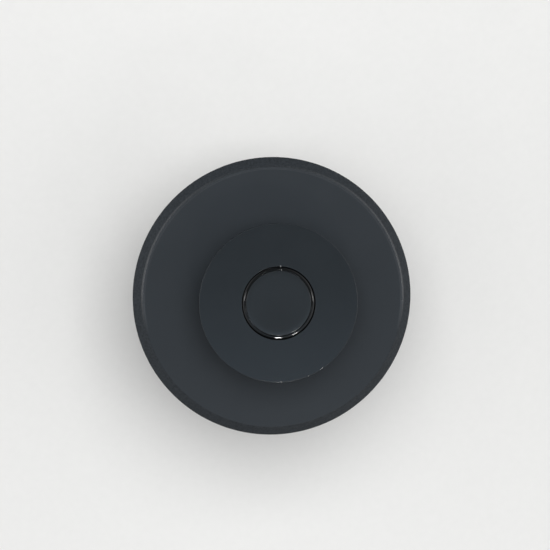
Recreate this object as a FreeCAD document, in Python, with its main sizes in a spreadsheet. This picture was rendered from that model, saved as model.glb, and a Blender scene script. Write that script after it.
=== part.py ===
import FreeCAD, Part
import math
import os
import re
import Sketcher
from FreeCAD import Placement, Rotation, Vector

# A pop-up charger for a round hole in a desk. Millimetres, +Z up. The origin is on the axis,
# at the top face of the desk, where the flange's gasket rests. The turret is modelled raised.

SIZES = {
    # turret's cap, and the bore that its drum moves in
    "cap_radius": 20.0,
    "cap_thickness": 2.2,
    "cap_edge": 0.5,
    "cap_overhang": 2.0,
    "drum_gap": 0.3,
    "guide_wall": 1.4,
    "stop_depth": 5.0,
    "turret_travel": 10.8,
    "closed_gap": 0.2,
    # guide pillars, bushes and lift springs
    "pillar_radius": 1.5,
    "pillar_gap": 2.8,
    "pillar_end": 1.2,
    "pillar_play": 0.05,
    "tapping_spare": 0.5,
    "bush_wall": 0.75,
    "bush_length": 6.0,
    "bush_room": 1.0,
    "fit_gap": 0.02,
    "lift_wire": 0.25,
    "lift_gap": 0.4,
    "lift_turns": 8.0,
    # sleeve in the desk's hole
    "sleeve_wall": 2.2,
    "rim_cover": 0.9,
    "collar_length": 10.0,
    "thread_depth": 0.7,
    "thread_pitch": 3.0,
    "thread_crest": 0.7,
    "thread_foot": 1.7,
    "thread_root_sink": 0.2,
    "web_thickness": 2.0,
    "web_gap": 0.2,
    # flange, which reaches past the sleeve, and its gasket
    "flange_cover": 6.5,
    "flange_top": 3.0,
    "flange_band": 2.8,
    "flange_band_drop": 1.3,
    "flange_rim_round": 0.43,
    "gasket_proud": 0.3,
    "gasket_groove": 0.5,
    "gasket_gap": 1.3,
    "gasket_margin": 1.4,
    "gasket_play": 0.1,
    # drum and carrier plate
    "drum_wall": 1.8,
    "plate_gap": 0.4,
    "plate_thickness": 2.2,
    "plate_hole": 3.3,
    "plate_hole_inset": 6.0,
    "boss_inset": 3.0,
    "boss_radius": 2.0,
    "boss_root": 0.55,
    "rib_half": 0.9,
    # centre button and the trim ring round it
    "button_radius": 8.2,
    "button_gap": 0.15,
    "button_edge": 0.12,
    "button_lip": 0.12,
    "trim_width": 0.95,
    "trim_crown": 0.05,
    "button_thickness": 1.9,
    "button_travel": 1.4,
    "stem_radius": 1.5,
    "stem_play": 0.15,
    "stem_groove": 1.1,
    "stem_tip": 0.4,
    "stem_recess": 0.5,
    "clip_radius": 2.9,
    "clip_thickness": 0.6,
    "clip_play": 0.05,
    "clip_mouth": 1.0,
    "return_wire": 0.175,
    "return_coil": 2.6,
    "return_turns": 5.0,
    # sockets
    "socket_gap": 0.54,
    "socket_back": 4.4,
    "mouth_recess": 1.6,
    "shell_sheet": 0.3,
    "shell_slot_start": 5.2,
    "shell_slot_length": 3.8,
    "shell_slot_half": 0.8,
    "shell_slot_place": 2.5,
    "window_gap": 0.25,
    "back_wall": 1.2,
    "usb_a_width": 12.5,
    "usb_a_height": 5.12,
    "tongue_a_width": 11.1,
    "tongue_a_thickness": 1.84,
    "tongue_a_gap": 0.7,
    "tongue_a_recess": 1.4,
    "contact_thickness": 0.2,
    "contact_a_inner": 1.0,
    "contact_a_outer": 3.5,
    "contact_a_half": 0.5,
    "contact_a_short": 1.0,
    "usb_c_width": 8.34,
    "usb_c_height": 2.56,
    "usb_c_length": 8.6,
    "tongue_c_width": 6.69,
    "tongue_c_thickness": 0.7,
    "tongue_c_recess": 0.8,
    "contact_c_pitch": 0.8,
    "contact_c_half": 0.2,
    "contact_c_short": 0.6,
    # boards and what is soldered to them
    "board_thickness": 1.6,
    "board_edge_gap": 0.4,
    "base_board_gap": 0.5,
    "board_rise": 3.5,
    "board_notch": 0.9,
    "board_window_gap": 0.6,
    "can_radius": 2.4,
    "can_height": 6.0,
    "can_ring": 10.5,
    "choke_radius": 3.1,
    "choke_section": 1.5,
    "choke_gap": 1.0,
    "chip_width": 4.0,
    "chip_length": 4.5,
    "chip_height": 1.0,
    "chip_place": 8.0,
    "bulk_radius": 3.1,
    "bulk_height": 9.0,
    "bulk_ring": 18.5,
    "part_gap": 0.5,
    "inductor_side": 7.0,
    "inductor_height": 4.0,
    "inductor_place": 10.0,
    "converter_side": 5.0,
    "converter_height": 1.2,
    "converter_place": 11.0,
    # latch
    "tongue_wall": 0.85,
    "tongue_length": 9.6,
    "tongue_flange": 5.0,
    "tongue_flange_thickness": 1.5,
    "tongue_nose": 1.0,
    "head_lip": 0.8,
    "head_height": 2.0,
    "jaw_thickness": 4.0,
    "jaw_swing": 8.0,
    "jaw_reach": 8.0,
    "jaw_play": 0.2,
    "jaw_pivot": 5.0,
    "jaw_pin": 1.0,
    "jaw_half": 2.0,
    "jaw_corner": 0.8,
    "jaw_hook": 1.2,
    "jaw_top": 2.8,
    "jaw_arm": 0.2,
    "jaw_foot": 1.0,
    "jaw_foot_gap": 1.9,
    "jaw_foot_height": 1.5,
    "jaw_wire": 0.2,
    "jaw_coil_gap": 0.2,
    "jaw_coil_room": 1.4,
    "jaw_coil_end": 0.1,
    "jaw_coil_turns": 1.25,
    "pivot_height": 9.5,
    "housing_half_y": 11.0,
    "housing_wall": 1.6,
    "housing_head": 3.6,
    "housing_floor": 1.2,
    "ear_length": 3.5,
    "ear_thickness": 1.6,
    "ear_inset": 1.0,
    # base
    "base_thickness": 2.5,
    "base_inset": 0.4,
    "base_rim_height": 1.6,
    "base_rim_wall": 0.5,
    "base_rim_gap": 0.1,
    "post_radius": 2.0,
    "post_inset": 4.3,
    "post_root": 0.5,
    "jack_place": 15.0,
    "jack_half": 4.5,
    "jack_gap": 0.1,
    "jack_board_gap": 0.3,
    "jack_length": 13.0,
    "jack_bore": 3.15,
    "jack_depth": 9.5,
    "jack_pin": 1.05,
    "jack_pin_root": 1.5,
    "jack_pin_recess": 0.5,
    "jack_pin_nose": 0.5,
    # clamp under the desk
    "panel_thickness": 12.0,
    "washer_thickness": 1.0,
    "washer_gap": 0.2,
    "nut_gap": 0.1,
    "nut_height": 8.0,
    "nut_wall": 3.0,
    "grip_radius": 1.1,
    "grip_drop": 1.0,
    # ribbon and its connectors
    "ribbon_inset": 3.7,
    "ribbon_width": 5.0,
    "ribbon_thickness": 0.4,
    "ribbon_bow": 6.0,
    "ribbon_lead": 1.0,
    "ribbon_slot": 1.2,
    "plug_height": 3.0,
    "plug_wall": 1.0,
    "plug_half": 1.5,
    "plug_slot": 0.2,
    "plug_play": 0.1,
    # screws
    "screw_radius": 0.95,
    "screw_play": 0.05,
    "screw_head": 1.9,
    "screw_head_height": 1.3,
    "screw_head_gap": 0.2,
    "screw_end_gap": 0.2,
    "drive_radius": 0.45,
    "drive_depth": 0.65,
    "turret_screw_bite": 6.0,
    "base_screw_bite": 4.5,
    "latch_screw_head": 1.6,
    "latch_screw_bite": 1.75,
    "latch_screw_spare": 0.25,
    "bezel_boss": 1.6,
    "bezel_boss_play": 0.1,
    "bezel_boss_root": 1.2,
    "bezel_head": 2.3,
    "bezel_head_gap": 0.4,
    "bezel_screw": 0.75,
    "bezel_screw_bite": 2.9,
    "bezel_screw_spare": 0.3,
}

# Directions in degrees: the three sockets, and the pillars and screws between them.
SOCKET_ANGLES = (90, 210, 330)
PILLAR_ANGLES = (30, 150, 270)
CAN_ANGLES = (180, 215)
CHOKE_ANGLE = 308
BULK_ANGLES = (52, 128)
NUT_GRIPS = 18
CONTACTS_C = 7

# Radii about the axis, each worked out from the sizes.
DRUM_RADIUS = "(cap_radius - cap_overhang)"
GUIDE_BORE = f"({DRUM_RADIUS} + drum_gap)"
GUIDE_OUTER = f"({GUIDE_BORE} + guide_wall)"
PILLAR_RING = f"({GUIDE_OUTER} + pillar_radius + pillar_gap)"
BUSH_RADIUS = "(pillar_radius + pillar_play + bush_wall)"
LIFT_OUTER = "(pillar_radius + lift_gap + 2 * lift_wire)"
SLEEVE_BORE = f"({PILLAR_RING} + {BUSH_RADIUS} + bush_room)"
SLEEVE_RADIUS = f"({SLEEVE_BORE} + sleeve_wall)"
SLEEVE_RIM = f"({SLEEVE_RADIUS} + rim_cover)"
THREAD_ROOT = f"({SLEEVE_RADIUS} - thread_depth)"
BEZEL_RING = f"({SLEEVE_BORE} - bezel_head - bezel_head_gap)"
POST_RING = f"({SLEEVE_BORE} - post_inset)"
FLANGE_RADIUS = f"({SLEEVE_RADIUS} + flange_cover)"
GASKET_INNER = f"({SLEEVE_RADIUS} + gasket_gap)"
GASKET_OUTER = f"({FLANGE_RADIUS} - gasket_margin)"
DRUM_BORE = f"({DRUM_RADIUS} - drum_wall)"
BOSS_RING = f"({DRUM_BORE} - boss_inset)"
CHOKE_RING = f"({DRUM_BORE} - choke_gap - choke_radius - choke_section)"
RIBBON_PLACE = f"({DRUM_BORE} - ribbon_inset)"
MOUTH = f"({DRUM_RADIUS} - mouth_recess)"
TRIM_INNER = "(button_radius + button_gap)"
TRIM_OUTER = f"({TRIM_INNER} + trim_width)"
STRIKER_BORE = "(stem_radius + stem_play)"
STRIKER_RADIUS = f"({STRIKER_BORE} + tongue_wall)"
NUT_RADIUS = f"({SLEEVE_RADIUS} + nut_wall)"

# Heights above the desk.
FLANGE_UNDER = "(gasket_proud)"
GROOVE_TOP = f"({FLANGE_UNDER} + gasket_groove)"
WEB_UNDER = f"({FLANGE_UNDER} - web_thickness)"
CAP_UNDER = "(flange_top + closed_gap + turret_travel)"
CAP_TOP = f"({CAP_UNDER} + cap_thickness)"
BUTTON_UNDER = f"({CAP_TOP} - button_thickness)"
SOCKET_LEVEL = f"({BUTTON_UNDER} - button_travel - socket_gap - shell_sheet - usb_a_height / 2)"
BOARD_TOP = f"({SOCKET_LEVEL} - usb_a_height / 2 - shell_sheet)"
BOARD_UNDER = f"({BOARD_TOP} - board_thickness)"
USB_C_LEVEL = f"({BOARD_TOP} + usb_c_height / 2 + shell_sheet)"
PLATE_TOP = "(-stop_depth)"
PLATE_UNDER = f"({PLATE_TOP} - plate_thickness)"
BUSH_END = f"({PLATE_TOP} - bush_length)"
TONGUE_TIP = f"({PLATE_UNDER} - tongue_length)"
PIVOT_LEVEL = f"({TONGUE_TIP} + head_height - turret_travel - jaw_reach)"
BASE_FLOOR = f"({PIVOT_LEVEL} - pivot_height)"
BASE_UNDER = f"({BASE_FLOOR} - base_thickness)"
BASE_BOARD_UNDER = f"({BASE_FLOOR} + board_rise)"
BASE_BOARD_TOP = f"({BASE_BOARD_UNDER} + board_thickness)"
EAR_TOP = f"({BASE_FLOOR} + ear_thickness)"
WASHER_UNDER = "(-panel_thickness - washer_thickness)"

# Half sizes and places of the latch's housing.
HOUSING_HALF = "(jaw_thickness / 2 + jaw_coil_room + housing_wall)"
EAR_HOLE = "(housing_half_y + ear_length / 2)"

# Where a sketch's corners and circles start, before the sheet moves them.
FIRST_PLACE = 20.0
FIRST_RADIUS = 1.0

WORD = re.compile(r"[a-z][a-z_0-9]*")
SIGNED_SIZE = re.compile(r"([+-]?)\s*(?:(\d+) \* )?([a-z_]+)(?: / (\d+))?")

doc = FreeCAD.newDocument("PopUpCharger")
sheet = doc.addObject("Spreadsheet::Sheet", "Sizes")
for row, (alias, number) in enumerate(SIZES.items(), 1):
    sheet.set(f"A{row}", alias)
    sheet.set(f"B{row}", str(number))
    sheet.setAlias(f"B{row}", alias)
doc.recompute()
subparts = []


def bound(text):
    """An expression in size names, turned into one that reads the sheet."""
    return WORD.sub(lambda m: "Sizes." + m.group() if m.group() in SIZES else m.group(), str(text))


def bind(thing, **expressions):
    for name, text in expressions.items():
        thing.setExpression(name, bound(text))
    return thing


def shift(thing, x="0", y="0", z="0"):
    """Bind the place of an object to the sheet."""
    for axis, text in zip("xyz", (x, y, z)):
        thing.setExpression("Placement.Base." + axis, bound(text))
    return thing


def amount(text):
    """A radius or height from the lists above as a plain number: signed sizes added up."""
    total = 0.0
    for sign, times, name, share in SIGNED_SIZE.findall(text):
        number = float(sheet.get(name)) * float(times or 1) / float(share or 1)
        total += -number if sign == "-" else number
    return total


def around(ring, angle):
    """The x and y of a place on a ring, as expressions."""
    return f"{ring} * cos({angle})", f"{ring} * sin({angle})"


def cylinder(radius, low, high, x="0", y="0"):
    solid = doc.addObject("Part::Cylinder", "Cylinder")
    bind(solid, Radius=radius, Height=f"({high}) - ({low})")
    return shift(solid, x, y, low)


def cone(low_radius, high_radius, low, high, x="0", y="0"):
    solid = doc.addObject("Part::Cone", "Cone")
    bind(solid, Radius1=low_radius, Radius2=high_radius, Height=f"({high}) - ({low})")
    return shift(solid, x, y, low)


def box(x, y, z):
    """A box from three pairs of low and high expressions."""
    solid = doc.addObject("Part::Box", "Box")
    bind(solid, Length=f"({x[1]}) - ({x[0]})", Width=f"({y[1]}) - ({y[0]})", Height=f"({z[1]}) - ({z[0]})")
    return shift(solid, x[0], y[0], z[0])


def both_ways(half):
    """The low and high expressions of a stretch that is centred on the axis."""
    return f"-({half})", half


def rod_along_x(radius, low, high, y, level):
    """A round rod that lies along the X axis."""
    rod = doc.addObject("Part::Cylinder", "Rod")
    bind(rod, Radius=radius, Height=f"({high}) - ({low})")
    rod.Placement = Placement(Vector(0, 0, 0), Rotation(Vector(0, 1, 0), 90))
    return shift(rod, low, y, level)


def fuse(*solids):
    if len(solids) == 1:
        return solids[0]
    joined = doc.addObject("Part::MultiFuse", "Fuse")
    joined.Shapes = list(solids)
    return joined


def cut(base, *tools):
    result = doc.addObject("Part::Cut", "Cut")
    result.Base = base
    result.Tool = fuse(*tools)
    return result


def group(solids):
    """Separate solids that share one node."""
    together = doc.addObject("Part::Compound", "Group")
    together.Links = list(solids)
    return together


def turn_about_axis(thing, angle):
    """Turn an object about the Z axis through a wrapper, so that its own sizes stay bound."""
    wrapper = doc.addObject("Part::Compound", "Turned")
    wrapper.Links = [thing]
    wrapper.Placement = Placement(Vector(0, 0, 0), Rotation(Vector(0, 0, 1), angle))
    return wrapper


def keep(thing, label):
    """Register a finished sub-part under its node's name."""
    thing.Label = label
    subparts.append(thing)
    return thing


def keep_shape(shape, label):
    """Register a wound or bent sub-part, whose shape is made from the sheet's numbers."""
    feature = doc.addObject("Part::Feature", "Formed")
    feature.Shape = shape
    return keep(feature, label)


def new_body(label):
    return keep(doc.addObject("PartDesign::Body", label), label)


def sketch_on(body, role, level=None):
    """A sketch on one of the body's own origin planes, raised where a level is given."""
    plane = [feature for feature in body.Origin.OriginFeatures if feature.Role == role][0]
    sketch = body.newObject("Sketcher::SketchObject", "Sketch")
    sketch.AttachmentSupport = [(plane, "")]
    sketch.MapMode = "FlatFace"
    if level:
        bind(sketch, **{"AttachmentOffset.Base.z": level})
    return sketch


def fix(sketch, text, *constraint):
    """Add a constraint whose value follows the sheet."""
    index = sketch.addConstraint(Sketcher.Constraint(*constraint))
    sketch.setExpression(f"Constraints[{index}]", bound(text))


def fix_point(sketch, across, up, geometry, end, start):
    """Hold a corner or a centre at two expressions, measured from the sketch's origin."""
    fix(sketch, across, "DistanceX", -1, 1, geometry, end, start.x)
    fix(sketch, up, "DistanceY", -1, 1, geometry, end, start.y)


def outline(body, role, points, hole=None):
    """A closed sketch whose corners are bound to the sheet, with an optional round hole."""
    sketch = sketch_on(body, role)
    count = len(points)
    turns = [math.tau * i / count for i in range(count)]
    start = [Vector(FIRST_PLACE + FIRST_RADIUS * math.cos(a), FIRST_RADIUS * math.sin(a), 0) for a in turns]
    for i in range(count):
        sketch.addGeometry(Part.LineSegment(start[i], start[(i + 1) % count]))
    for i in range(count):
        sketch.addConstraint(Sketcher.Constraint("Coincident", i, 2, (i + 1) % count, 1))
    for i, (across, up) in enumerate(points):
        fix_point(sketch, across, up, i, 1, start[i])
    if hole:
        sketch.addGeometry(Part.Circle(Vector(0, 0, 0), Vector(0, 0, 1), FIRST_RADIUS))
        sketch.addConstraint(Sketcher.Constraint("Coincident", count, 3, -1, 1))
        fix(sketch, hole, "Radius", count, FIRST_RADIUS)
    return sketch


def turned(body, points):
    """A full turn of a profile of (radius, height) corners about the Z axis."""
    feature = body.newObject("PartDesign::Revolution", "Turned")
    feature.Profile = outline(body, "XZ_Plane", points)
    feature.ReferenceAxis = (feature.Profile[0], ["V_Axis"])
    feature.Angle = 360
    doc.recompute()
    return feature


def columns(body, kind, level, ring, radius, angles, length, upward=True):
    """A pad or pocket of equal round columns on a ring, from a level upward or downward."""
    feature = body.newObject("PartDesign::" + kind, kind)
    sketch = sketch_on(body, "XY_Plane", level)
    for index, angle in enumerate(angles):
        turn = math.radians(angle)
        start = Vector(FIRST_PLACE * math.cos(turn), FIRST_PLACE * math.sin(turn), 0)
        sketch.addGeometry(Part.Circle(start, Vector(0, 0, 1), FIRST_RADIUS))
        across, up = around(ring, angle)
        fix_point(sketch, across, up, index, 3, start)
        fix(sketch, radius, "Radius", index, FIRST_RADIUS)
    feature.Profile = sketch
    feature.Reversed = upward == (kind == "Pocket")
    bind(feature, Length=length)


def tube_profile(inner, outer, low, high):
    return [(inner, low), (outer, low), (outer, high), (inner, high)]


def rounded(body, radius, ring, level):
    """Fillet the round edge of a given radius and height."""
    doc.recompute()
    base = body.Tip
    names = []
    for index, edge in enumerate(base.Shape.Edges, 1):
        curve = edge.Curve
        if isinstance(curve, Part.Circle) and math.isclose(curve.Radius, amount(ring), abs_tol=1e-4):
            if math.isclose(curve.Center.z, amount(level), abs_tol=1e-4):
                names.append(f"Edge{index}")
    fillet = body.newObject("PartDesign::Fillet", "Rounded")
    fillet.Base = (base, names)
    bind(fillet, Radius=radius)


def coil_path(radius, low, high, turns):
    """A helix about Z as two tangent arcs to each quarter turn."""
    quarters = int(round(turns * 4))
    step = (high - low) / quarters
    slope = Vector(0, 0, step / (radius * math.pi / 2))

    def place(i):
        angle = i * math.pi / 2
        return Vector(radius * math.cos(angle), radius * math.sin(angle), low + i * step)

    def heading(i):
        angle = i * math.pi / 2
        return (Vector(-math.sin(angle), math.cos(angle), 0) + slope).normalize()

    edges = []
    for i in range(quarters):
        first, last = place(i), place(i + 1)
        out, into = heading(i), heading(i + 1)
        across = last - first
        both = out + into
        spread = 2 * (1 - out.dot(into))
        root = math.sqrt(across.dot(both) ** 2 + spread * across.dot(across))
        reach = (root - across.dot(both)) / spread
        middle = (first + last + (out - into) * reach) * 0.5
        for a, b, corner in ((first, middle, first + out * reach), (middle, last, last - into * reach)):
            half_way = (a + b) * 0.5
            turn = (b - a).getAngle(corner - a)
            crown = half_way + (corner - half_way) * (math.tan(turn / 2) / math.tan(turn))
            edges.append(Part.Arc(a, crown, b).toShape())
    return Part.Wire(edges)


def coil(radius, wire, low, high, turns, label):
    """A round wire wound between two heights, in one unbroken tube."""
    path = coil_path(radius, low + wire, high - wire, turns)
    start = path.Edges[0]
    at = start.FirstParameter
    section = Part.Circle(start.valueAt(at), start.tangentAt(at), wire)
    solid = path.makePipeShell([Part.Wire([section.toShape()])], True, False)
    gap = (high - low - 2 * wire) / turns - 2 * wire
    print(f"{label}: {turns} turns, least gap between curls {gap:.2f} mm")
    return solid


def screw(place, seat, tip, radius="screw_radius", head="screw_head"):
    """A screw with its head under its seat and its shank going up to its tip."""
    x, y = place
    head_end = f"{seat} - screw_head_height"
    drive = cylinder("drive_radius", head_end, f"{head_end} + drive_depth", x, y)
    return cut(fuse(cylinder(radius, seat, tip, x, y), cylinder(head, head_end, seat, x, y)), drive)


def screw_down(place, seat, tip, head="screw_head"):
    """A screw with its head on top of its seat and its shank going down to its tip."""
    x, y = place
    head_end = f"{seat} + screw_head_height"
    drive = cylinder("drive_radius", f"{head_end} - drive_depth", head_end, x, y)
    return cut(fuse(cylinder("screw_radius", tip, seat, x, y), cylinder(head, seat, head_end, x, y)), drive)


def screw_hole(low, high, place):
    return cylinder("screw_radius + screw_play", low, high, *place)


def ear_places():
    """Where the latch housing's two screws go."""
    return [("0", f"{facing} * {EAR_HOLE}") for facing in (-1, 1)]


def make_bezel_flange():
    """The ring seen on the desk, with the short tube that the turret slides through."""
    body = new_body("bezel_flange")
    band_foot = "flange_top - flange_band_drop"
    turned(body, [
        (GUIDE_BORE, PLATE_TOP), (GUIDE_OUTER, PLATE_TOP), (GUIDE_OUTER, FLANGE_UNDER),
        (GASKET_INNER, FLANGE_UNDER), (GASKET_INNER, GROOVE_TOP),
        (GASKET_OUTER, GROOVE_TOP), (GASKET_OUTER, FLANGE_UNDER),
        (FLANGE_RADIUS, FLANGE_UNDER), (FLANGE_RADIUS, band_foot),
        (f"{FLANGE_RADIUS} - flange_band", "flange_top"), (GUIDE_BORE, "flange_top"),
    ])
    rounded(body, "flange_rim_round", FLANGE_RADIUS, band_foot)
    columns(body, "Pad", WEB_UNDER, BEZEL_RING, "bezel_boss", SOCKET_ANGLES,
            "web_thickness + bezel_boss_root")
    columns(body, "Pocket", WEB_UNDER, BEZEL_RING, "bezel_screw + screw_play", SOCKET_ANGLES,
            "bezel_screw_bite + bezel_screw_spare")


def make_flange_gasket():
    """A soft ring in the flange's groove, which rests on the desk."""
    body = new_body("flange_gasket")
    inner = f"{GASKET_INNER} + gasket_play"
    outer = f"{GASKET_OUTER} - gasket_play"
    turned(body, tube_profile(inner, outer, "0", GROOVE_TOP))


def make_mounting_sleeve():
    """The tube in the desk's hole: a web at its top, a plain collar, and a screw thread below."""
    body = new_body("mounting_sleeve")
    web_hole = f"{GUIDE_OUTER} + web_gap"
    turned(body, [
        (web_hole, WEB_UNDER), (SLEEVE_BORE, WEB_UNDER), (SLEEVE_BORE, BASE_FLOOR),
        (THREAD_ROOT, BASE_FLOOR), (THREAD_ROOT, "-collar_length"), (SLEEVE_RADIUS, "-collar_length"),
        (SLEEVE_RADIUS, "0"), (SLEEVE_RIM, "0"), (SLEEVE_RIM, FLANGE_UNDER), (web_hole, FLANGE_UNDER),
    ])
    add_thread(body)
    columns(body, "Pocket", FLANGE_UNDER, BEZEL_RING, "bezel_boss + bezel_boss_play", SOCKET_ANGLES,
            "web_thickness + bezel_boss_play", upward=False)
    columns(body, "Pocket", WEB_UNDER, PILLAR_RING, "pillar_radius + pillar_play", PILLAR_ANGLES,
            "pillar_end")


def add_thread(body):
    """A helical ridge from just above the base to the collar, let a little into the wall."""
    first = f"{BASE_FLOOR} + thread_pitch / 2"
    inside = f"{THREAD_ROOT} - thread_root_sink"
    ridge = outline(body, "XZ_Plane", [
        (inside, f"{first} - thread_foot / 2"), (SLEEVE_RADIUS, f"{first} - thread_crest / 2"),
        (SLEEVE_RADIUS, f"{first} + thread_crest / 2"), (inside, f"{first} + thread_foot / 2"),
    ])
    doc.recompute()
    thread = body.newObject("PartDesign::AdditiveHelix", "Thread")
    thread.Profile = ridge
    thread.ReferenceAxis = (ridge, ["V_Axis"])
    thread.Mode = "pitch-height-angle"
    bind(thread, Pitch="thread_pitch", Height=f"-collar_length - thread_pitch / 2 - ({first})")


def make_guide_pillars():
    """Three steel tie rods from the web to the base, tapped at their lower ends."""
    pillars = []
    for angle in PILLAR_ANGLES:
        place = around(PILLAR_RING, angle)
        rod = cylinder("pillar_radius", BASE_FLOOR, f"{WEB_UNDER} + pillar_end", *place)
        tapping = screw_hole(BASE_FLOOR, f"{BASE_FLOOR} + base_screw_bite + tapping_spare", place)
        pillars.append(cut(rod, tapping))
    keep(group(pillars), "guide_pillars")


def make_bezel_screws():
    """Three screws from under the web into the flange's bosses."""
    tip = f"{WEB_UNDER} + bezel_screw_bite"
    screws = [screw(around(BEZEL_RING, angle), WEB_UNDER, tip, "bezel_screw", "bezel_head")
              for angle in SOCKET_ANGLES]
    keep(group(screws), "bezel_screws")


def make_base_screws():
    """Three screws from the base cover into the pillars."""
    seat = f"({BASE_UNDER} + screw_head_height)"
    screws = [screw(around(PILLAR_RING, angle), seat, f"{BASE_FLOOR} + base_screw_bite")
              for angle in PILLAR_ANGLES]
    keep(group(screws), "base_screws")


def make_turret_screws():
    """Three long screws that hold plate, drum, board and cap together."""
    screws = [screw(around(BOSS_RING, angle), PLATE_UNDER, f"{BOARD_TOP} + turret_screw_bite")
              for angle in PILLAR_ANGLES]
    keep(group(screws), "turret_screws")


def make_lift_springs():
    """Three coil springs round the pillars, from the base to the carrier's bushes."""
    wire = amount("lift_wire")
    mean = amount("pillar_radius + lift_gap + lift_wire")
    ring = amount(PILLAR_RING)
    springs = []
    for angle in PILLAR_ANGLES:
        spring = coil(mean, wire, amount(BASE_FLOOR), amount(BUSH_END), amount("lift_turns"), "lift spring")
        turn = math.radians(angle)
        spring.translate(Vector(ring * math.cos(turn), ring * math.sin(turn), 0))
        springs.append(spring)
    keep_shape(Part.makeCompound(springs), "lift_springs")


def make_turret_cap():
    """The disc on top of the turret, with the trim ring's bore and three posts for the long screws."""
    body = new_body("turret_cap")
    bore = f"{TRIM_OUTER} + fit_gap"
    turned(body, tube_profile(bore, "cap_radius", CAP_UNDER, CAP_TOP))
    rounded(body, "cap_edge", "cap_radius", CAP_TOP)
    rounded(body, "button_lip", bore, CAP_TOP)
    post = f"{CAP_UNDER} - {BOARD_TOP}"
    columns(body, "Pad", BOARD_TOP, BOSS_RING, "boss_radius", PILLAR_ANGLES, f"{post} + boss_root")
    columns(body, "Pocket", BOARD_TOP, BOSS_RING, "screw_radius + screw_play", PILLAR_ANGLES, post)


def make_button_trim():
    """A glossy bead, pressed into the cap, that frames the button."""
    body = new_body("button_trim")
    turned(body, tube_profile(TRIM_INNER, TRIM_OUTER, CAP_UNDER, CAP_TOP))
    for edge in (TRIM_INNER, TRIM_OUTER):
        rounded(body, "(trim_width - trim_crown) / 2", edge, CAP_TOP)


def socket_window(width, height, level, angle):
    """A block that cuts a socket's window through the drum's wall."""
    half = f"({width}) / 2 + shell_sheet + window_gap"
    rise = f"(({height}) / 2 + shell_sheet + window_gap)"
    block = box((f"{DRUM_BORE} / 2", f"{DRUM_RADIUS} + drum_wall"), both_ways(half),
                (f"{level} - {rise}", f"{level} + {rise}"))
    return turn_about_axis(block, angle)


def make_turret_drum():
    """The turret's wall, with a window for each socket and ribbed bosses for the long screws."""
    wall = cut(cylinder(DRUM_RADIUS, PLATE_TOP, CAP_UNDER), cylinder(DRUM_BORE, PLATE_TOP, CAP_UNDER))
    bosses = []
    holes = []
    for angle in PILLAR_ANGLES:
        place = around(BOSS_RING, angle)
        bosses.append(cylinder("boss_radius", PLATE_TOP, BOARD_UNDER, *place))
        holes.append(screw_hole(PLATE_TOP, BOARD_UNDER, place))
        rib = box((BOSS_RING, f"{DRUM_BORE} + drum_wall / 2"), both_ways("rib_half"),
                  (PLATE_TOP, BOARD_UNDER))
        bosses.append(turn_about_axis(rib, angle))
    windows = [socket_window("usb_a_width", "usb_a_height", SOCKET_LEVEL, angle)
               for angle in SOCKET_ANGLES[:2]]
    windows.append(socket_window("usb_c_width", "usb_c_height", USB_C_LEVEL, SOCKET_ANGLES[2]))
    keep(cut(fuse(wall, *bosses), *windows, *holes), "turret_drum")


def make_carrier_plate():
    """The plate under the drum that rides on the pillars and stops against the guide tube."""
    holes = [cylinder("stem_radius + stem_play", PLATE_UNDER, PLATE_TOP)]
    for angle in PILLAR_ANGLES:
        x, y = around(PILLAR_RING, angle)
        holes.append(cylinder(f"{BUSH_RADIUS} + fit_gap", PLATE_UNDER, PLATE_TOP, x, y))
        holes.append(screw_hole(PLATE_UNDER, PLATE_TOP, around(BOSS_RING, angle)))
    holes.append(box((f"{RIBBON_PLACE} - ribbon_slot", f"{RIBBON_PLACE} + ribbon_slot"),
                     both_ways("ribbon_width / 2 + plug_wall"), (PLATE_UNDER, PLATE_TOP)))
    for angle in SOCKET_ANGLES:
        x, y = around(f"({DRUM_BORE} - plate_hole_inset)", angle)
        holes.append(cylinder("plate_hole", PLATE_UNDER, PLATE_TOP, x, y))
    keep(cut(cylinder(f"{SLEEVE_BORE} - plate_gap", PLATE_UNDER, PLATE_TOP), *holes), "carrier_plate")


def make_pillar_bushes():
    """Plain bearings pressed into the carrier plate."""
    bushes = []
    for angle in PILLAR_ANGLES:
        x, y = around(PILLAR_RING, angle)
        outer = cylinder(BUSH_RADIUS, BUSH_END, PLATE_TOP, x, y)
        bushes.append(cut(outer, cylinder("pillar_radius + pillar_play", BUSH_END, PLATE_TOP, x, y)))
    keep(group(bushes), "pillar_bushes")


def make_centre_button():
    """The round button and the stem that reaches down through the turret to the latch."""
    body = new_body("centre_button")
    clip_low = f"{BOARD_UNDER} - clip_thickness"
    stem_end = f"{TONGUE_TIP} + stem_recess"
    turned(body, [
        ("0", stem_end), ("stem_radius - stem_tip", stem_end), ("stem_radius", f"{stem_end} + stem_tip"),
        ("stem_radius", clip_low), ("stem_groove", clip_low), ("stem_groove", BOARD_UNDER),
        ("stem_radius", BOARD_UNDER), ("stem_radius", BUTTON_UNDER), ("button_radius", BUTTON_UNDER),
        ("button_radius", CAP_TOP), ("0", CAP_TOP),
    ])
    rounded(body, "button_edge", "button_radius", CAP_TOP)


def make_button_clip():
    """A snap ring in the stem's groove, which stops the button against the board."""
    low = f"{BOARD_UNDER} - clip_thickness"
    bore = cylinder("stem_groove + clip_play", low, BOARD_UNDER)
    mouth = box(("0", "2 * clip_radius"), both_ways("clip_mouth"), (low, BOARD_UNDER))
    keep(cut(cylinder("clip_radius", low, BOARD_UNDER), bore, mouth), "button_clip")


def make_button_spring():
    """The coil that lifts the button, between the board and the button's underside."""
    keep_shape(coil(amount("return_coil"), amount("return_wire"), amount(BOARD_TOP), amount(BUTTON_UNDER),
                    amount("return_turns"), "button spring"), "button_spring")


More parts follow.
